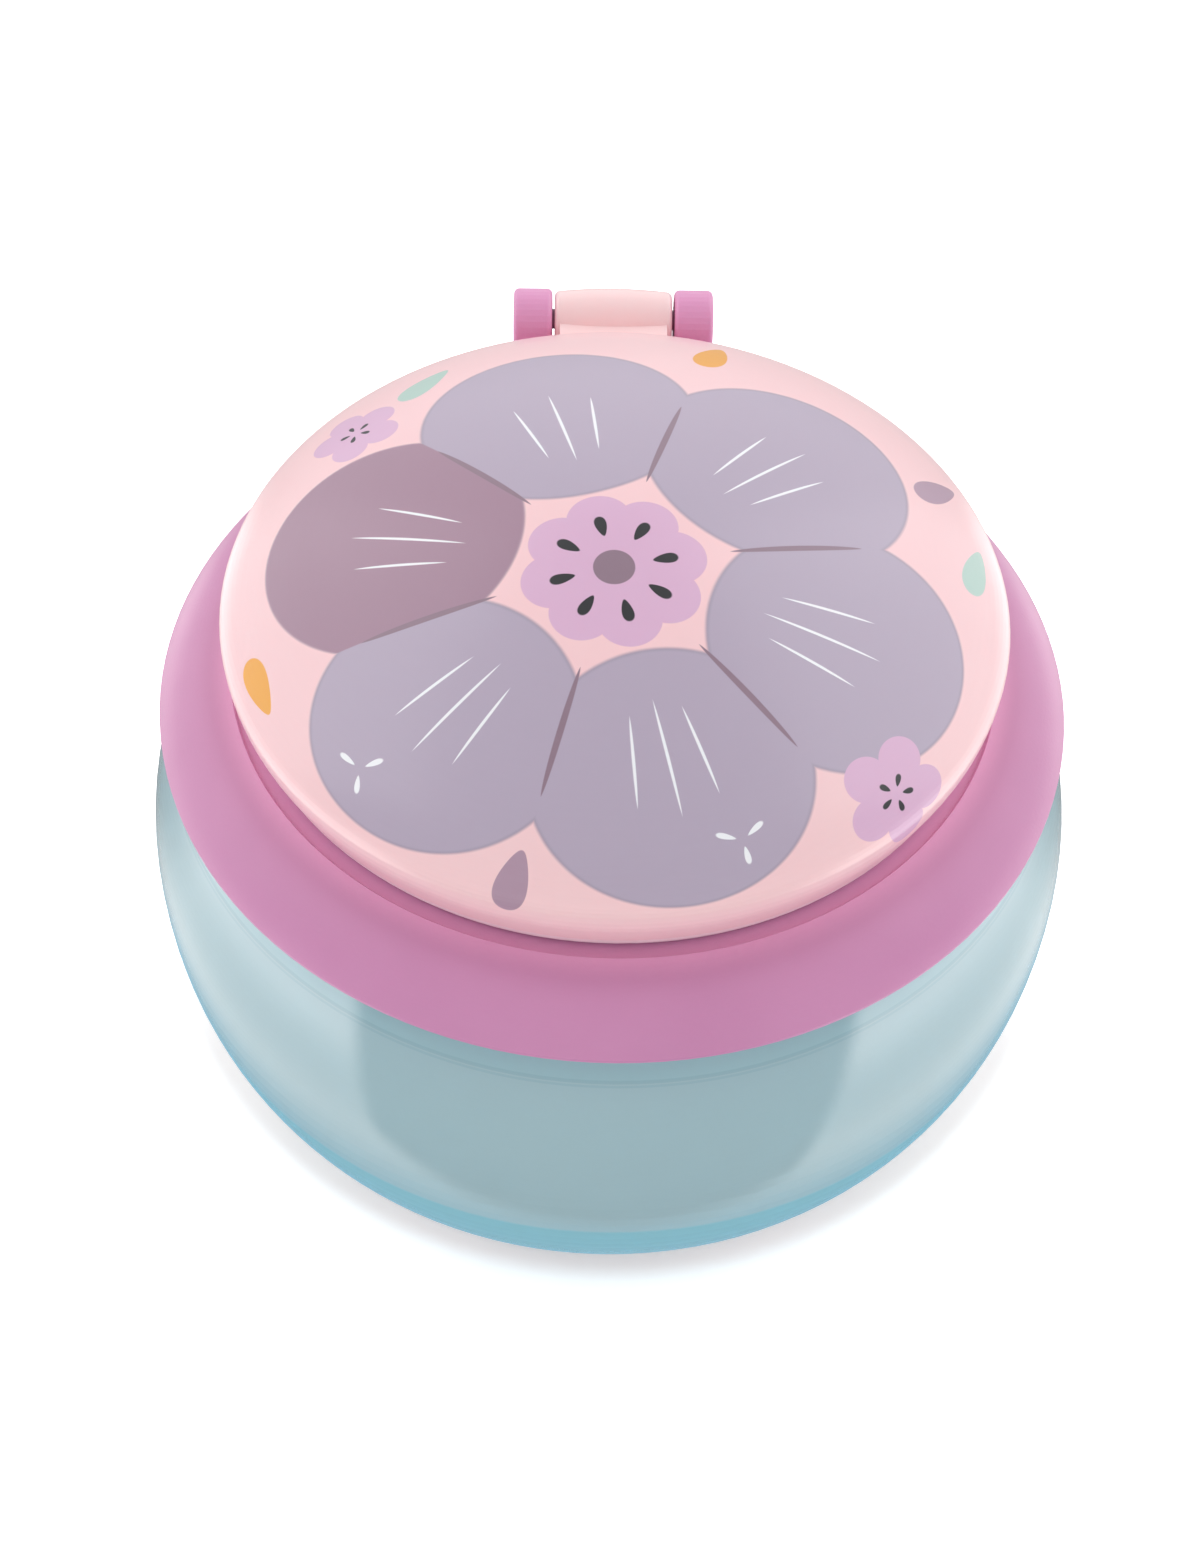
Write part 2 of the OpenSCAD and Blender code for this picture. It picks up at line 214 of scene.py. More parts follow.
def lay_floor():
    """A sheet of paper, nearly white to the camera but for the cup's soft shadow, partly real and
    partly a painted shadow ring round the cup's front. In the cup's gloss it is white at the
    sides and dark in front, as in an open light tent, with painted shade close to the cup."""
    bpy.ops.mesh.primitive_plane_add(size=FLOOR_SIZE)
    floor = bpy.context.object
    floor.name = "paper_floor"
    material = bpy.data.materials.new("studio_paper")
    material.use_nodes = True
    material.node_tree.nodes.clear()
    wire = Wire(material.node_tree)
    to_camera, in_gloss, through = ray_kinds(wire)
    place = wire.node("TexCoord", output="Object")
    x, y = (wire.node("SeparateXYZ", (), {0: place}, axis) for axis in range(2))

    # painted shadow: the paper is tinted darker in a soft ring round the cup's front, on top of
    # its real shadow
    from_shade = length(x - SHADE_MIDDLE[0], y - SHADE_MIDDLE[1])
    shade = step(from_shade, SHADE_TO, SHADE_FROM) * step(y, SHADE_BACK_Y, SHADE_FRONT_Y)
    at_side = step(size_of(x), SHADE_MIDDLE_X, SHADE_SIDE_X)
    shaded = tint(at_side, PAPER_SHADED, PAPER_SHADED_SIDE)
    seen = tint(shade, PAPER_SEEN, shaded)
    matt = wire.node("BsdfDiffuse", (), {"Color": tint(to_camera, PAPER, seen)})

    spread = size_of(x - TENT_FRONT_START[0]) / (TENT_FRONT_START[1] - y)
    front = (step(spread, TENT_FRONT_SPREAD + TENT_FRONT_BLUR, TENT_FRONT_SPREAD - TENT_FRONT_BLUR)
             * step(y, TENT_FRONT_EDGE + TENT_EDGE_BLUR, TENT_FRONT_EDGE - TENT_EDGE_BLUR))
    far = step(length(x, y), TENT_FAR_FROM, TENT_FAR_TO)
    aside = size_of(x) - y * TENT_BESIDE_SLOPE
    beside = step(aside, TENT_BESIDE_FROM, TENT_BESIDE_TO) * far
    dim = TENT_BACK_DIM - beside * (TENT_BACK_DIM - TENT_BESIDE_DIM)
    back = step(y, TENT_BACK_FROM, TENT_BACK_TO) * dim
    sides = tint(far, TENT_SIDES, TENT_FAR)
    # painted shade seen in gloss: the paper is darker and bluer close to the cup
    sides = tint(step(length(x, y), TENT_NEAR_TO, TENT_NEAR_FROM), sides, TENT_NEAR)
    tent = tint(larger(front, back), sides, TENT_FRONT)
    glow = wire.node("Emission", (), {"Color": tint(in_gloss, WHITE, tent)})

    share = larger(to_camera * PAPER_GLOW, larger(in_gloss, through))
    paper = wire.node("MixShader", (), {0: share, 1: matt, 2: glow})
    wire.node("OutputMaterial", (), {"Surface": paper})
    floor.data.materials.append(material)


def light_room():
    """An even pale room, which is plain white to the camera and partly so in gloss"""
    world = bpy.data.worlds.new("pale_room")
    bpy.context.scene.world = world
    world.use_nodes = True
    world.node_tree.nodes.clear()
    wire = Wire(world.node_tree)
    to_camera, in_gloss, through = ray_kinds(wire)
    room = wire.node("Background", (), {"Color": ROOM, "Strength": ROOM_STRENGTH})
    white = wire.node("Background", (), {"Color": WHITE})
    share = larger(larger(to_camera, through), in_gloss * ROOM_IN_GLOSS)
    blend = wire.node("MixShader", (), {0: share, 1: room, 2: white})
    wire.node("OutputWorld", (), {"Surface": blend})


def hang_soft_box(name, place, size, power, in_gloss):
    """A rectangular soft box that faces the middle of the cup"""
    bpy.ops.object.light_add(type="AREA", location=place)
    lamp = bpy.context.object
    lamp.name = name
    lamp.data.shape = "RECTANGLE"
    lamp.data.size, lamp.data.size_y = size
    lamp.data.energy = power
    lamp.visible_glossy = in_gloss
    aim = lamp.location.copy()
    aim.z -= SOFT_BOX_AIM_Z
    lamp.rotation_euler = aim.to_track_quat("Z", "Y").to_euler()


bpy.context.scene.view_settings.view_transform = "Standard"
lay_floor()
light_room()
for soft_box in SOFT_BOXES:
    hang_soft_box(*soft_box)

# ---------------------------------------------------------------------------------------
# Bowl: injection-moulded polypropylene, tinted light blue and left translucent. It is
# polished outside and frosted inside, so what is behind it shows only as a soft shade.
# ---------------------------------------------------------------------------------------
BOWL_TINT = (0.57, 0.77, 0.81, 1)
BOWL_CLOUD = (0.555, 0.755, 0.80, 1)
BOWL_BASE_TINT = (0.37, 0.76, 0.84, 1)
BOWL_FOOT_TINT = (0.54, 0.79, 0.86, 1)
BOWL_NECK_SHADE_TINT = (0.52, 0.76, 0.81, 1)
BOWL_SHADE_LINE_TINT = (0.42, 0.64, 0.70, 1)
BOWL_GLOSS = 1.0
BOWL_BASE_TOP = 0.0197
BOWL_BASE_BLUR = 0.0004
BOWL_BASE_SHARE = 0.9
BOWL_FOOT_FROM, BOWL_FOOT_TO = 0.0157, 0.004
BOWL_NECK_STRIP = 0.0466
BOWL_NECK_BLUR = 0.0003
BOWL_NECK_SHADE_LINES = ((0.0464, 0.00014, 0.6), (0.0459, 0.0001, 0.4))
BOWL_CLEARNESS = 0.36
BOWL_DEPTH = (0.15, 0.60, 0.88, 1)
BOWL_DEPTH_DENSITY = 60.0
BOWL_POLISH = 0.07
BOWL_FROST = 0.5
BOWL_MIDDLE = (0, 0, 0.03)
BOWL_SIDES_BLUR = 0.0005
CLOUD_LOW, CLOUD_HIGH = 0.25, 0.75


def plastic(name, **fixed):
    """A new Principled material. Its constants are set on the shader's own sockets."""
    material = bpy.data.materials.new(name)
    material.use_nodes = True
    shader = material.node_tree.nodes["Principled BSDF"]
    for socket, value in fixed.items():
        shader.inputs[socket.replace("_", " ")].default_value = value
    return material, Wire(material.node_tree), shader


def feed(wire, shader, socket):
    """Wires a value or colour into one of the shader's sockets"""
    wire.tree.links.new(wire.socket, shader.inputs[socket])


def noise(wire, scale):
    """Noise from 0 to 1 on the piece's own coordinates, scale in waves per metre"""
    place = wire.node("TexCoord", output="Object")
    return wire.node("TexNoise", (), {"Vector": place, "Scale": scale})


def cloud(wire, scale):
    """Soft patches from 0 to 1, for the slight unevenness of a moulding's colour"""
    return step(noise(wire, scale), CLOUD_LOW, CLOUD_HIGH)


def roughen(wire, shader, depth, scale):
    """The moulding's fine surface, as a bump of the given depth in metres"""
    bump = wire.node("Bump", (), {"Height": noise(wire, scale), "Distance": depth})
    feed(bump, shader, "Normal")


def wear(material, *names):
    """Puts the material on CAD nodes, in place of the plain one they came with"""
    for name in names:
        mesh = frame["nodes"][name].data
        mesh.materials.clear()
        mesh.materials.append(material)


def make_blue_plastic():
    """Light blue with a denser base and painted shade just below the collar, polished outside
    and frosted inside
    """
    material, wire, shader = plastic(
        "frosted_blue_plastic", IOR=1.45, Transmission_Weight=BOWL_CLEARNESS,
        Specular_IOR_Level=BOWL_GLOSS)
    place = wire.node("TexCoord", output="Object")
    z = wire.node("SeparateXYZ", (), {0: place}, 2)
    colour = tint(cloud(wire, 45.0), BOWL_TINT, BOWL_CLOUD)
    base = step(z, BOWL_BASE_TOP + BOWL_BASE_BLUR, BOWL_BASE_TOP - BOWL_BASE_BLUR)
    base_colour = tint(step(z, BOWL_FOOT_FROM, BOWL_FOOT_TO), BOWL_BASE_TINT, BOWL_FOOT_TINT)
    colour = tint(base * BOWL_BASE_SHARE, colour, base_colour)
    # painted shade: a darker, bluer strip and two faint darker lines just below the collar's edge
    neck = step(z, BOWL_NECK_STRIP - BOWL_NECK_BLUR, BOWL_NECK_STRIP)
    colour = tint(neck, colour, BOWL_NECK_SHADE_TINT)
    for height, half, strength in BOWL_NECK_SHADE_LINES:
        line = step(size_of(z - height), half * 2, half) * strength
        colour = tint(line, colour, BOWL_SHADE_LINE_TINT)
    feed(colour, shader, "Base Color")
    from_middle = wire.node("VectorMath", {"operation": "SUBTRACT"}, {0: place, 1: BOWL_MIDDLE})
    normal = wire.node("NewGeometry", output="Normal")
    outward = wire.node("VectorMath", {"operation": "DOT_PRODUCT"},
                        {0: from_middle, 1: normal}, "Value")
    polished = step(outward, -BOWL_SIDES_BLUR, BOWL_SIDES_BLUR)
    feed(BOWL_FROST + polished * (BOWL_POLISH - BOWL_FROST), shader, "Roughness")
    roughen(wire, shader, depth=0.00001, scale=1500.0)
    depth = wire.node("VolumeAbsorption", (),
                      {"Color": BOWL_DEPTH, "Density": BOWL_DEPTH_DENSITY})
    output = wire.tree.nodes["Material Output"]
    wire.tree.links.new(depth.socket, output.inputs["Volume"])
    return material


blue_plastic = make_blue_plastic()
wear(blue_plastic, "bowl")

# ---------------------------------------------------------------------------------------
# Bowl's thread: two ridges moulded on the neck, each less than half a turn, that climb
# 5 mm a turn and fade into the neck at both ends.
# ---------------------------------------------------------------------------------------
NECK_RADIUS = 0.0436
THREAD_LEAD = 0.005
THREAD_STARTS = 2
THREAD_BASE = 0.0009
THREAD_CREST = 0.0005
THREAD_SINK = 0.0001
THREAD_STEPS = 60
THREAD_FADE = 5
SMOOTH_ANGLE = math.radians(40)
BOWL_THREAD_HEIGHT = 0.0008
BOWL_THREAD_START = 0.0522
BOWL_THREAD_TURN = 150.0


def deselect():
    """Leaves nothing selected, so that the next step acts on its own piece only"""
    bpy.ops.object.select_all(action="DESELECT")


def settle(piece):
    """Leaves the piece's place in its mesh, with the object at the origin"""
    deselect()
    piece.select_set(True)
    bpy.context.view_layer.objects.active = piece
    bpy.ops.object.transform_apply(location=True, rotation=True, scale=True)


def select_points(piece, wanted):
    """Selects, in edit mode, the vertices for which wanted(place) is true"""
    bpy.ops.mesh.select_mode(type="VERT")
    bpy.ops.mesh.select_all(action="DESELECT")
    bpy.ops.object.mode_set(mode="OBJECT")
    for vertex in piece.data.vertices:
        vertex.select = wanted(vertex.co)
    bpy.ops.object.mode_set(mode="EDIT")


def wind_ridge(name, wall_radius, height, low_z, turn, start):
    """One thread ridge on a round wall: height is negative on an inside wall"""
    deselect()
    out = 1 if height > 0 else -1
    reach = abs(height) + THREAD_SINK
    middle = wall_radius + (height - out * THREAD_SINK) / 2
    bpy.ops.mesh.primitive_plane_add(size=1, location=(middle, 0, low_z),
                                     rotation=(math.radians(90), 0, 0))
    ridge = bpy.context.object
    ridge.name = name
    ridge.scale = (reach, THREAD_BASE, 1)
    settle(ridge)
    bpy.ops.object.mode_set(mode="EDIT")
    select_points(ridge, lambda p: (p.x - middle) * out > 0)
    bpy.ops.transform.resize(value=(1, 1, THREAD_CREST / THREAD_BASE),
                             center_override=(middle, 0, low_z))
    bpy.ops.object.mode_set(mode="OBJECT")
    bpy.ops.object.modifier_add(type="SCREW")
    screw = ridge.modifiers[-1]
    screw.axis = "Z"
    screw.angle = math.radians(turn)
    screw.screw_offset = THREAD_LEAD * turn / 360
    screw.steps = screw.render_steps = THREAD_STEPS
    screw.use_normal_calculate = True
    bpy.ops.object.modifier_apply(modifier=screw.name)
    bpy.ops.object.mode_set(mode="EDIT")
    fade_ends(ridge, wall_radius, out, low_z, turn)
    bpy.ops.mesh.select_all(action="SELECT")
    bpy.ops.mesh.remove_doubles(threshold=1e-7)
    bpy.ops.mesh.select_all(action="DESELECT")
    bpy.ops.mesh.select_non_manifold()
    bpy.ops.mesh.fill()
    bpy.ops.mesh.select_all(action="SELECT")
    bpy.ops.mesh.normals_make_consistent(inside=False)
    bpy.ops.object.mode_set(mode="OBJECT")
    ridge.rotation_euler.z = math.radians(start)
    settle(ridge)
    bpy.ops.object.shade_smooth_by_angle(angle=SMOOTH_ANGLE)
    return ridge


def fade_ends(ridge, wall_radius, out, low_z, turn):
    """Draws the crest down into the wall over the last few steps at each end"""
    for end_turn in (0.0, turn):
        for k in range(THREAD_FADE):
            away = turn * k / THREAD_STEPS
            angle = math.radians(end_turn + (away if end_turn == 0 else -away))
            near = math.radians(turn / THREAD_STEPS / 3)

            def on_crest(p):
                lean = math.atan2(p.y, p.x) - angle
                above = (math.hypot(p.x, p.y) - wall_radius) * out > 0
                return abs(math.remainder(lean, 2 * math.pi)) < near and above

            select_points(ridge, on_crest)
            sunk = 1 - (THREAD_FADE - k) / THREAD_FADE * out * abs(ridge_rise(ridge, wall_radius))
            z = low_z + THREAD_LEAD * math.degrees(angle) / 360
            bpy.ops.transform.resize(value=(sunk, sunk, 1), center_override=(0, 0, z))


def ridge_rise(ridge, wall_radius):
    """The crest's height over the wall as a share of the crest's radius"""
    radii = [math.hypot(v.co.x, v.co.y) for v in ridge.data.vertices]
    far = max(radii, key=lambda r: abs(r - wall_radius))
    return (far - wall_radius) / far


for k in range(THREAD_STARTS):
    ridge = wind_ridge(f"bowl_thread_{k + 1}", NECK_RADIUS, BOWL_THREAD_HEIGHT,
                       BOWL_THREAD_START, BOWL_THREAD_TURN, k * 360 / THREAD_STARTS)
    ridge.data.materials.append(blue_plastic)
    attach(ridge, "bowl")

# ---------------------------------------------------------------------------------------
# Collar: one satin orchid-pink moulding that screws on the bowl. It holds the insert
# down, carries the lid's hinge in two ears and has the ring that the lid snaps over.
# ---------------------------------------------------------------------------------------
ORCHID = (0.62, 0.265, 0.465, 1)
ORCHID_DEEP = (0.59, 0.245, 0.44, 1)
ORCHID_PAINTED_LIGHT = (0.74, 0.33, 0.55, 1)
EDGE_LOW_Z, EDGE_HIGH_Z = 0.0514, 0.0518
EDGE_FROM, EDGE_FULL = 0.0518, 0.0520
ORCHID_HEAD_SHADE = (0.54, 0.205, 0.38, 1)
HEAD_FROM, HEAD_TO = 0.0438, 0.0490
HEAD_LOW_Z, HEAD_HIGH_Z = 0.0520, 0.0540
RECESS_LOW_Z, RECESS_HIGH_Z = 0.0568, 0.0571
RECESS_FROM, RECESS_FULL, RECESS_FADE, RECESS_END = 0.0400, 0.0425, 0.0440, 0.0470
ORCHID_EARS_GLOW = (0.76, 0.33, 0.56, 1)
EARS_FROM_Y, EARS_FULL_Y = 0.0440, 0.0445
EARS_FROM_Z, EARS_FULL_Z = 0.0598, 0.0613


def make_orchid_plastic():
    """Satin orchid; painted shade round the lid, painted light at the lower edge, recess and ears
    """
    material, wire, shader = plastic(
        "satin_orchid_plastic", Roughness=0.38, IOR=1.47, Subsurface_Weight=0.15,
        Subsurface_Scale=0.0015)
    shader.inputs["Subsurface Radius"].default_value = (1.0, 0.5, 0.7)
    place = wire.node("TexCoord", output="Object")
    x, y, z = (wire.node("SeparateXYZ", (), {0: place}, axis) for axis in range(3))
    out = length(x, y)
    colour = tint(cloud(wire, 60.0), ORCHID, ORCHID_DEEP)
    # painted shade: the top of the slope next to the lid is darker
    head_shade = step(out, HEAD_TO, HEAD_FROM) * step(z, HEAD_LOW_Z, HEAD_HIGH_Z)
    colour = tint(head_shade, colour, ORCHID_HEAD_SHADE)
    # painted highlight: a paler line along the collar's thin lower edge, as if lit through
    edge_highlight = step(z, EDGE_HIGH_Z, EDGE_LOW_Z) * step(out, EDGE_FROM, EDGE_FULL)
    # painted light: the recess floor round the lid's rim is paler, to lift it out of the lid's
    # shadow
    recess = (step(z, RECESS_LOW_Z, RECESS_HIGH_Z)
              * step(out, RECESS_FROM, RECESS_FULL) * step(out, RECESS_END, RECESS_FADE))
    colour = tint(larger(edge_highlight, recess), colour, ORCHID_PAINTED_LIGHT)
    # painted light: the ears are paler and brighter, as if lit from behind through the plastic
    ears = step(y, EARS_FROM_Y, EARS_FULL_Y) * step(z, EARS_FROM_Z, EARS_FULL_Z)
    colour = tint(ears, colour, ORCHID_EARS_GLOW)
    feed(colour, shader, "Base Color")
    roughen(wire, shader, depth=0.00002, scale=2600.0)
    return material


orchid_plastic = make_orchid_plastic()
wear(orchid_plastic, "collar")

# ---------------------------------------------------------------------------------------
# Collar's thread: two ridges inside the skirt, half a thread below the bowl's, so that
# they hook under them and draw the collar down.
# ---------------------------------------------------------------------------------------
SKIRT_RADIUS = 0.0450
COLLAR_THREAD_HEIGHT = -0.0008
COLLAR_THREAD_FROM = 60.0
COLLAR_THREAD_TURN = 140.0
COLLAR_THREAD_START = (BOWL_THREAD_START - THREAD_LEAD / THREAD_STARTS / 2
                       + THREAD_LEAD * COLLAR_THREAD_FROM / 360)

for k in range(THREAD_STARTS):
    ridge = wind_ridge(f"collar_thread_{k + 1}", SKIRT_RADIUS, COLLAR_THREAD_HEIGHT,
                       COLLAR_THREAD_START, COLLAR_THREAD_TURN,
                       COLLAR_THREAD_FROM + k * 360 / THREAD_STARTS)
    ridge.data.materials.append(orchid_plastic)
    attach(ridge, "collar")

# ---------------------------------------------------------------------------------------
# Hinge pin: a plain moulded rod in the collar's own colour. It is pressed through the two
# ears, which grip its ends, and the lid's barrel turns on it.
# ---------------------------------------------------------------------------------------
STREAK_LOW, STREAK_HIGH = 0.3, 0.7


def make_pin_plastic():
    """Smooth orchid with faint paler streaks: random tone, and painted light against the shade
    between the ears
    """
    material, wire, shader = plastic("hinge_pin_plastic", Roughness=0.3, IOR=1.47)
    streak = step(noise(wire, 400.0), STREAK_LOW, STREAK_HIGH)
    feed(tint(streak, ORCHID, ORCHID_PAINTED_LIGHT), shader, "Base Color")
    roughen(wire, shader, depth=0.00001, scale=4000.0)
    return material


wear(make_pin_plastic(), "hinge_pin")

# ---------------------------------------------------------------------------------------
# Flap insert: one soft rubbery moulding. Its flange is clamped under the collar, and its
# six flaps are cut apart by slits and thinned at their roots, where the real flaps bend
# down to let a hand in.
# ---------------------------------------------------------------------------------------
SOFT_PINK = (0.86, 0.62, 0.66, 1)
SOFT_PINK_DEEP = (0.80, 0.54, 0.59, 1)
FLAPS = 6
SLIT_WIDTH = 0.0006
SLIT_HOLE_RADIUS = 0.0009
FLAP_THICKNESS = 0.0012
FLAP_ROOT_OVERLAP = 0.0006
FLAP_TIP_BEVEL = 0.0021
FLAP_TILT = math.radians(5)
ROOT_GROOVE_WIDTH = 0.0012
ROOT_GROOVE_DEPTH = 0.0005
BEND_STEPS = 12
BEND_LENGTH = 0.0024
FLAP_EDGE_ROUND = 0.00018


def make_soft_rubber():
    """Matt pale pink that lets a little light through"""
    material, wire, shader = plastic(
        "soft_pink_rubber", Roughness=0.55, IOR=1.43, Subsurface_Weight=0.4,
        Subsurface_Scale=0.002)
    shader.inputs["Subsurface Radius"].default_value = (1.0, 0.6, 0.6)
    feed(tint(cloud(wire, 80.0), SOFT_PINK, SOFT_PINK_DEEP), shader, "Base Color")
    roughen(wire, shader, depth=0.00003, scale=3200.0)
    return material


def cut_hole(piece, place, radius, height):
    """Cuts a round hole along Z through the piece"""
    deselect()
    bpy.ops.mesh.primitive_cylinder_add(vertices=32, radius=radius, depth=height,
                                        location=place)
    cutter = bpy.context.object
    deselect()
    piece.select_set(True)
    bpy.context.view_layer.objects.active = piece
    bpy.ops.object.modifier_add(type="BOOLEAN")
    hole = piece.modifiers[-1]
    hole.operation = "DIFFERENCE"
    hole.solver = "EXACT"
    hole.object = cutter
    bpy.ops.object.modifier_apply(modifier=hole.name)
    bpy.data.objects.remove(cutter)


def cut_flap(hinge_radius, under_z):
    """The first flap, pointing from +X at its root to the middle, tip rounded"""
    half = math.radians(180 / FLAPS)
    root_x = hinge_radius + FLAP_ROOT_OVERLAP
    tip_x = SLIT_WIDTH / 2 / math.sin(half)
    reach = root_x - tip_x
    # a three-sided plate, its point towards the middle and rounded off
    deselect()
    bpy.ops.mesh.primitive_cylinder_add(
        vertices=3, radius=reach * 2 / 3, depth=FLAP_THICKNESS,
        location=(root_x - reach / 3, 0, under_z + FLAP_THICKNESS / 2),
        rotation=(0, 0, math.radians(90)))
    flap = bpy.context.object
    settle(flap)
    bpy.ops.object.mode_set(mode="EDIT")
    select_points(flap, lambda p: p.x < root_x - reach * 0.9)
    bpy.ops.mesh.bevel(offset=FLAP_TIP_BEVEL, segments=8, affect="EDGES")
    bpy.ops.object.mode_set(mode="OBJECT")
    # round ends to the slits, at the root's two corners
    corner_radius = hinge_radius / math.cos(half)
    for side in (-half, half):
        corner = (corner_radius * math.cos(side), corner_radius * math.sin(side), under_z)
        cut_hole(flap, corner, SLIT_HOLE_RADIUS, 4 * FLAP_THICKNESS)
    # rows of points across the root to bend at, and the groove that thins it
    groove_x = hinge_radius - ROOT_GROOVE_WIDTH / 2
    bpy.ops.object.mode_set(mode="EDIT")
    for k in range(BEND_STEPS + 1):
        x = hinge_radius + FLAP_ROOT_OVERLAP / 2 - BEND_LENGTH * k / BEND_STEPS
        bpy.ops.mesh.select_all(action="SELECT")
        bpy.ops.mesh.bisect(plane_co=(x, 0, 0), plane_no=(1, 0, 0))
    for x in (groove_x - ROOT_GROOVE_WIDTH / 2, groove_x + ROOT_GROOVE_WIDTH / 2):
        bpy.ops.mesh.select_all(action="SELECT")
        bpy.ops.mesh.bisect(plane_co=(x, 0, 0), plane_no=(1, 0, 0))
    top = under_z + FLAP_THICKNESS * 0.9
    select_points(flap, lambda p: p.z > top and abs(p.x - groove_x) < ROOT_GROOVE_WIDTH * 0.4)
    bpy.ops.transform.translate(value=(0, 0, -ROOT_GROOVE_DEPTH))
    # the flap's slight fall to the middle, as moulded
    tilt_from = hinge_radius + FLAP_ROOT_OVERLAP / 4
    select_points(flap, lambda p: p.x < tilt_from)
    bpy.ops.transform.rotate(value=FLAP_TILT, orient_axis="Y",
                             center_override=(hinge_radius, 0, under_z))
    bpy.ops.mesh.select_all(action="SELECT")
    bpy.ops.mesh.remove_doubles(threshold=1e-6)
    bpy.ops.mesh.normals_make_consistent(inside=False)
    bpy.ops.object.mode_set(mode="OBJECT")
    bpy.ops.object.modifier_add(type="BEVEL")
    rounding = flap.modifiers[-1]
    rounding.width = FLAP_EDGE_ROUND
    rounding.segments = 2
    rounding.limit_method = "ANGLE"
    rounding.angle_limit = math.radians(50)
    bpy.ops.object.modifier_apply(modifier=rounding.name)
    return flap


soft_rubber = make_soft_rubber()
wear(soft_rubber, "flap_ring")
hinges = {joint["child"]: joint.get("pos_m") for joint in frame["joints"]}
root_x, root_y, root_z = hinges["flap_1"]
hinge_radius = math.hypot(root_x, root_y)
pattern = cut_flap(hinge_radius, root_z)
pattern.name = "flap_pattern"
for k in range(1, FLAPS + 1):
    flap = pattern.copy()
    flap.data = pattern.data.copy()
    bpy.context.scene.collection.objects.link(flap)
    flap.name = f"soft_flap_{k}"
    root_x, root_y, root_z = hinges[f"flap_{k}"]
    flap.rotation_euler.z = math.atan2(root_y, root_x)
    settle(flap)
    bpy.ops.object.shade_smooth_by_angle(angle=SMOOTH_ANGLE)
    flap.data.materials.append(soft_rubber)
    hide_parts(f"flap_{k}")
    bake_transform(flap)
bpy.data.objects.remove(pattern)

# ---------------------------------------------------------------------------------------
# Lid: one glossy pale-pink moulding with its hinge barrel. A printed film is moulded into
# its top: a big lilac blossom with soft edges, and small crisp flowers, seeds and leaves.
# ---------------------------------------------------------------------------------------
PALE_PINK = (0.98, 0.63, 0.645, 1)
PALE_PINK_CLOUD = (0.96, 0.61, 0.63, 1)
LILAC = (0.465, 0.39, 0.495, 1)
LILAC_EDGE = (0.38, 0.325, 0.415, 1)
PLUM = (0.375, 0.225, 0.305, 1)
PLUM_LINE = (0.28, 0.185, 0.24, 1)
ROSE = (0.72, 0.45, 0.63, 1)
CHARCOAL = (0.012, 0.013, 0.016, 1)
PRINT_WHITE = (0.93, 0.92, 0.95, 1)
LEAF_ORANGE = (0.88, 0.39, 0.05, 1)
LEAF_MINT = (0.46, 0.62, 0.56, 1)
LEAF_MAUVE = (0.44, 0.29, 0.38, 1)
FILM_TOP_Z = 0.0811
FILM_DRAPE = 36.0
FILM_SCALE = 0.93
FILM_BLUR = 0.00025
PRINT_CRISP = 0.00006
BLOSSOM = (-0.0005, -0.0085)
BLOSSOM_TURN = -76.0
BLOSSOM_PETALS = 6
PETAL_REACH = 0.025
PETAL_RADIUS = 0.015
PETAL_EDGE = 0.0003
PLUM_PETAL = 164.0
# strokes: degrees from the petal's middle, start and end, half width
GAP_LINE = (0.0, 0.012, 0.027, 0.0004)
SIDE_STROKE = (9.0, 0.017, 0.0275, 0.00022)
MIDDLE_STROKE = (0.0, 0.0155, 0.029, 0.00022)
HEART_PETALS = (8, 0.0062, 0.0033)
HEART_RADIUS = 0.0066
HEART_SEEDS = (8, 0.0053, (0.0013, 0.0008))
HEART_SPOT_RADIUS = 0.0021
DROP_TAPER = 0.28
LEAF_SIZE = (0.0042, 0.0025)
LEAVES = (
    ((-0.0405, -0.0175), 110.0, LEAF_ORANGE),
    ((-0.0225, 0.0275), 235.0, LEAF_MINT),
    ((0.0415, 0.0005), 250.0, LEAF_MINT),
    ((0.0375, 0.0125), 215.0, LEAF_MAUVE),
    ((0.0115, 0.0325), 250.0, LEAF_ORANGE),
    ((-0.0115, -0.0445), 250.0, LEAF_MAUVE),
)
SMALL_PETALS = 5
# shares of a small flower's size: petal's reach and radius, heart, seeds' ring and size
SMALL_REACH, SMALL_RADIUS, SMALL_HEART = 0.6, 0.4, 0.42
SMALL_RING, SMALL_SEED = 0.24, (0.11, 0.07)
SMALL_FLOWERS = (
    ((0.0305, -0.0320), 20.0, 0.0070),
    ((-0.0300, 0.0190), 50.0, 0.0058),
)
MARKS = (3, 0.0019, (0.0011, 0.00045))
WHITE_MARKS = (
    ((-0.0275, -0.0300), 15.0),
    ((0.0130, -0.0390), 50.0),
)
LID_EDGE_RADIUS = 0.0447
LID_EDGE_Z = 0.0656
LID_EDGE_BLUR = 0.00001
LID_DOME_HEIGHT = 0.0155
LID_FULLNESS = 1.6
DOME_SKIN_FROM, DOME_SKIN_FULL = 0.965, 0.975
SIDE_SKIN_FROM, SIDE_SKIN_FULL = -0.0008, -0.0006
LID_RIM_RADIUS = 0.0423
LID_RIM_Z = 0.0577
LID_SIDE_LEAN = (LID_EDGE_RADIUS - LID_RIM_RADIUS) / (LID_EDGE_Z - LID_RIM_Z)
RIM_HIGHLIGHT = (1.0, 0.93, 0.94, 1)
RIM_NONE_Z, RIM_FULL_Z = 0.0583, 0.0581
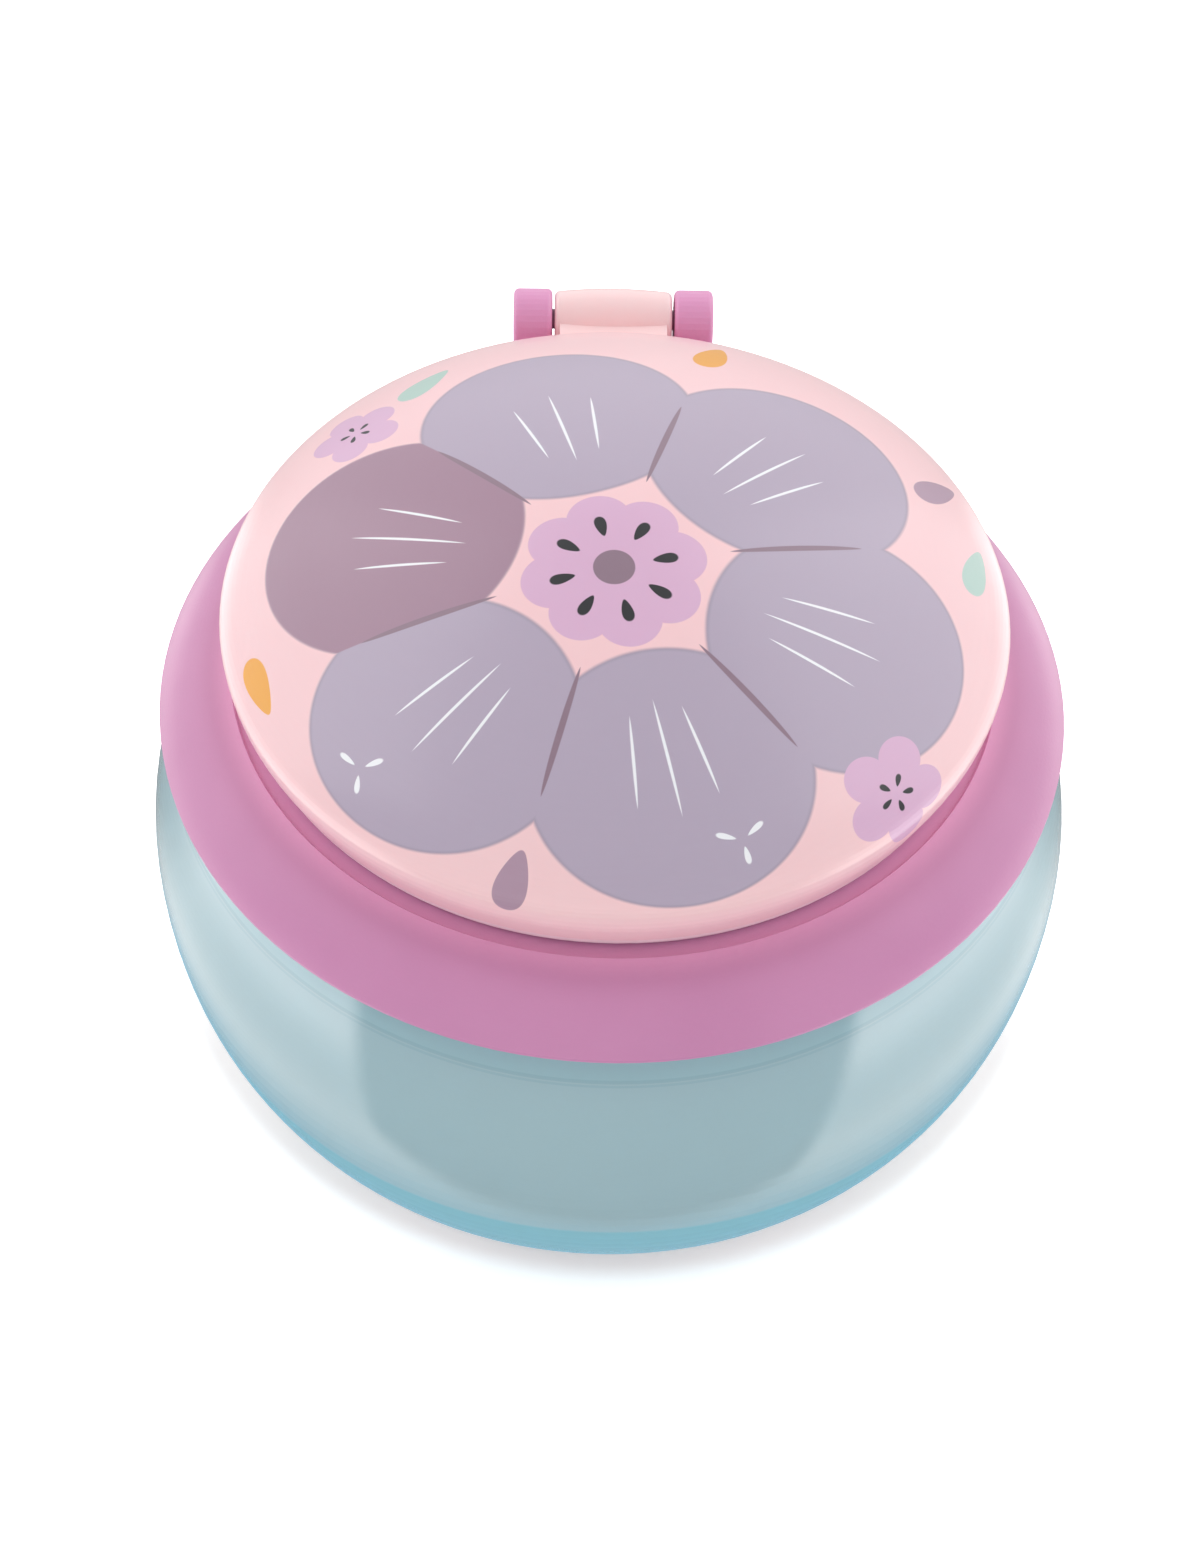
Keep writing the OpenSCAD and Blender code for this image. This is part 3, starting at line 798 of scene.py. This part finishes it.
RIM_FROM, RIM_FULL = 0.0414, 0.0419
BARE_LIT_STRIP_PINK = (1.0, 0.84, 0.88, 1)
BARE_STRIP_SHARE = 0.55
BARE_STRIP_Z = 0.0595
BARREL_LIT_PINK = (1.0, 0.69, 0.69, 1)
BARREL_FROM, BARREL_FULL = 0.0435, 0.0465


def within(distance, radius, blur):
    """1 where the distance is under the radius, with an edge as soft as the blur"""
    return step(distance, radius + blur, radius - blur)


def centred(x, y, place, turn=0.0):
    """The coordinates from a place on the lid, turned so that +X points along the turn"""
    c, s = math.cos(math.radians(turn)), math.sin(math.radians(turn))
    x, y = x - place[0], y - place[1]
    return x * c + y * s, y * c - x * s


def folded(x, y, count):
    """Distance out, and angle from the middle of the nearest of the petals"""
    half = math.pi / count
    angle = x.node("Math", {"operation": "ARCTAN2"}, {0: y, 1: x})
    angle = x.node("Math", {"operation": "WRAP"}, {0: angle, 1: half, 2: -half})
    return length(x, y), angle


def petals(x, y, count, reach, radius, blur):
    """A flower of round petals whose middles stand at the reach from its own middle"""
    far, angle = folded(x, y, count)
    along, aside = far * far.maths("COSINE", angle), far * far.maths("SINE", angle)
    return within(length(along - reach, aside), radius, blur)


def strokes(x, y, count, spread, start, end, width):
    """A pair of fine strokes on each petal, at an angle of the spread from its middle"""
    far, angle = folded(x, y, count)
    aside = far * far.maths("SINE", size_of(angle) - math.radians(spread))
    middle, half = (start + end) / 2, (end - start) / 2
    along = (far - middle) / half
    taper = larger(1 - along * along, 0.0) ** 0.5
    return step(taper * width - size_of(aside), 0.0, PRINT_CRISP * 2)


def seeds(x, y, count, ring, size):
    """A ring of small drops round the middle of a flower, their points inwards"""
    far, angle = folded(x, y, count)
    return drop(far * far.maths("COSINE", angle) - ring, far * far.maths("SINE", angle), size)


def drop(x, y, size):
    """A drop along X: its half length and half width, the point towards -X"""
    along, aside = x / size[0], y / size[1]
    aside = aside / (1 - DROP_TAPER + DROP_TAPER * along)
    return within(length(along, aside), 1.0, PRINT_CRISP / size[1])


def film_place(x, y, z):
    """Where a point of the lid lies on the flat film before it was drawn over the dome"""
    far, down = length(x, y), FILM_TOP_Z - z
    stretch = (1 + down * down * FILM_DRAPE / far) * FILM_SCALE
    return x * stretch, y * stretch


def print_layers(x, y):
    """What is printed, from the bottom up: where, and in what colour"""
    bx, by = centred(x, y, BLOSSOM, BLOSSOM_TURN)
    whole = (BLOSSOM_PETALS, PETAL_REACH)
    yield petals(bx, by, *whole, PETAL_RADIUS, FILM_BLUR), LILAC_EDGE
    yield petals(bx, by, *whole, PETAL_RADIUS - PETAL_EDGE, FILM_BLUR), LILAC
    px, py = centred(x, y, BLOSSOM, PLUM_PETAL)
    sector = step(px * math.tan(math.pi / BLOSSOM_PETALS) - size_of(py),
                  -FILM_BLUR / 2, FILM_BLUR / 2)
    yield within(length(px - PETAL_REACH, py), PETAL_RADIUS, FILM_BLUR) * sector, PLUM
    gaps = centred(bx, by, (0, 0), 180 / BLOSSOM_PETALS)
    yield strokes(*gaps, BLOSSOM_PETALS, *GAP_LINE), PLUM_LINE
    yield strokes(bx, by, BLOSSOM_PETALS, *SIDE_STROKE), PRINT_WHITE
    yield strokes(bx, by, BLOSSOM_PETALS, *MIDDLE_STROKE), PRINT_WHITE
    yield petals(bx, by, *HEART_PETALS, PRINT_CRISP), ROSE
    yield within(length(bx, by), HEART_RADIUS, PRINT_CRISP), ROSE
    yield seeds(bx, by, *HEART_SEEDS), CHARCOAL
    yield within(length(bx, by), HEART_SPOT_RADIUS, PRINT_CRISP), PLUM_LINE
    for place, turn, colour in LEAVES:
        yield drop(*centred(x, y, place, turn), LEAF_SIZE), colour
    for place, turn, size in SMALL_FLOWERS:
        fx, fy = centred(x, y, place, turn)
        yield petals(fx, fy, SMALL_PETALS, size * SMALL_REACH, size * SMALL_RADIUS,
                     PRINT_CRISP), ROSE
        yield within(length(fx, fy), size * SMALL_HEART, PRINT_CRISP), ROSE
        seed = [size * share for share in SMALL_SEED]
        yield seeds(fx, fy, SMALL_PETALS, size * SMALL_RING, seed), CHARCOAL
    for place, turn in WHITE_MARKS:
        yield seeds(*centred(x, y, place, turn), *MARKS), PRINT_WHITE


def make_printed_plastic():
    """Glossy pale pink with the printed film on its outside, painted light on its lowest strip
    and barrel, and a painted highlight along the rim's edge
    """
    material, wire, shader = plastic(
        "glossy_printed_plastic", Roughness=0.3, IOR=1.49, Coat_Weight=0.22,
        Coat_Roughness=0.2, Subsurface_Weight=0.25, Subsurface_Scale=0.003)
    shader.inputs["Subsurface Radius"].default_value = (1.0, 0.7, 0.7)
    place = wire.node("TexCoord", output="Object")
    x, y, z = (wire.node("SeparateXYZ", (), {0: place}, axis) for axis in range(3))
    ground = tint(cloud(wire, 40.0), PALE_PINK, PALE_PINK_CLOUD)
    colour = ground
    for mask, ink in print_layers(*film_place(x, y, z)):
        colour = tint(mask, colour, ink)
    out = length(x, y)
    rise = larger((z - LID_EDGE_Z) / LID_DOME_HEIGHT, 0.0)
    on_dome = step((out / LID_EDGE_RADIUS) ** LID_FULLNESS + rise ** LID_FULLNESS,
                   DOME_SKIN_FROM, DOME_SKIN_FULL)
    on_side = step(out - LID_EDGE_RADIUS + (LID_EDGE_Z - z) * LID_SIDE_LEAN,
                   SIDE_SKIN_FROM, SIDE_SKIN_FULL)
    above = step(z, LID_EDGE_Z, LID_EDGE_Z + LID_EDGE_BLUR)
    outside = larger(on_dome * above, on_side * (1 - above))
    colour = tint(outside, ground, colour)
    # the lid's lowest strip is paler: the film's clear edge, and painted light where the
    # down-facing side stays in shade
    bare_lit_strip = step(z, BARE_STRIP_Z + FILM_BLUR, BARE_STRIP_Z - FILM_BLUR)
    colour = tint(bare_lit_strip * BARE_STRIP_SHARE, colour, BARE_LIT_STRIP_PINK)
    # painted highlight: a whitish line along the rim's lower edge, where light catches it
    rim_highlight = step(z, RIM_NONE_Z, RIM_FULL_Z) * step(out, RIM_FROM, RIM_FULL)
    colour = tint(rim_highlight, colour, RIM_HIGHLIGHT)
    # painted light: the barrel and the lid's back are paler, as if lit from behind
    colour = tint(step(y, BARREL_FROM, BARREL_FULL), colour, BARREL_LIT_PINK)
    feed(colour, shader, "Base Color")
    return material


wear(make_printed_plastic(), "lid")
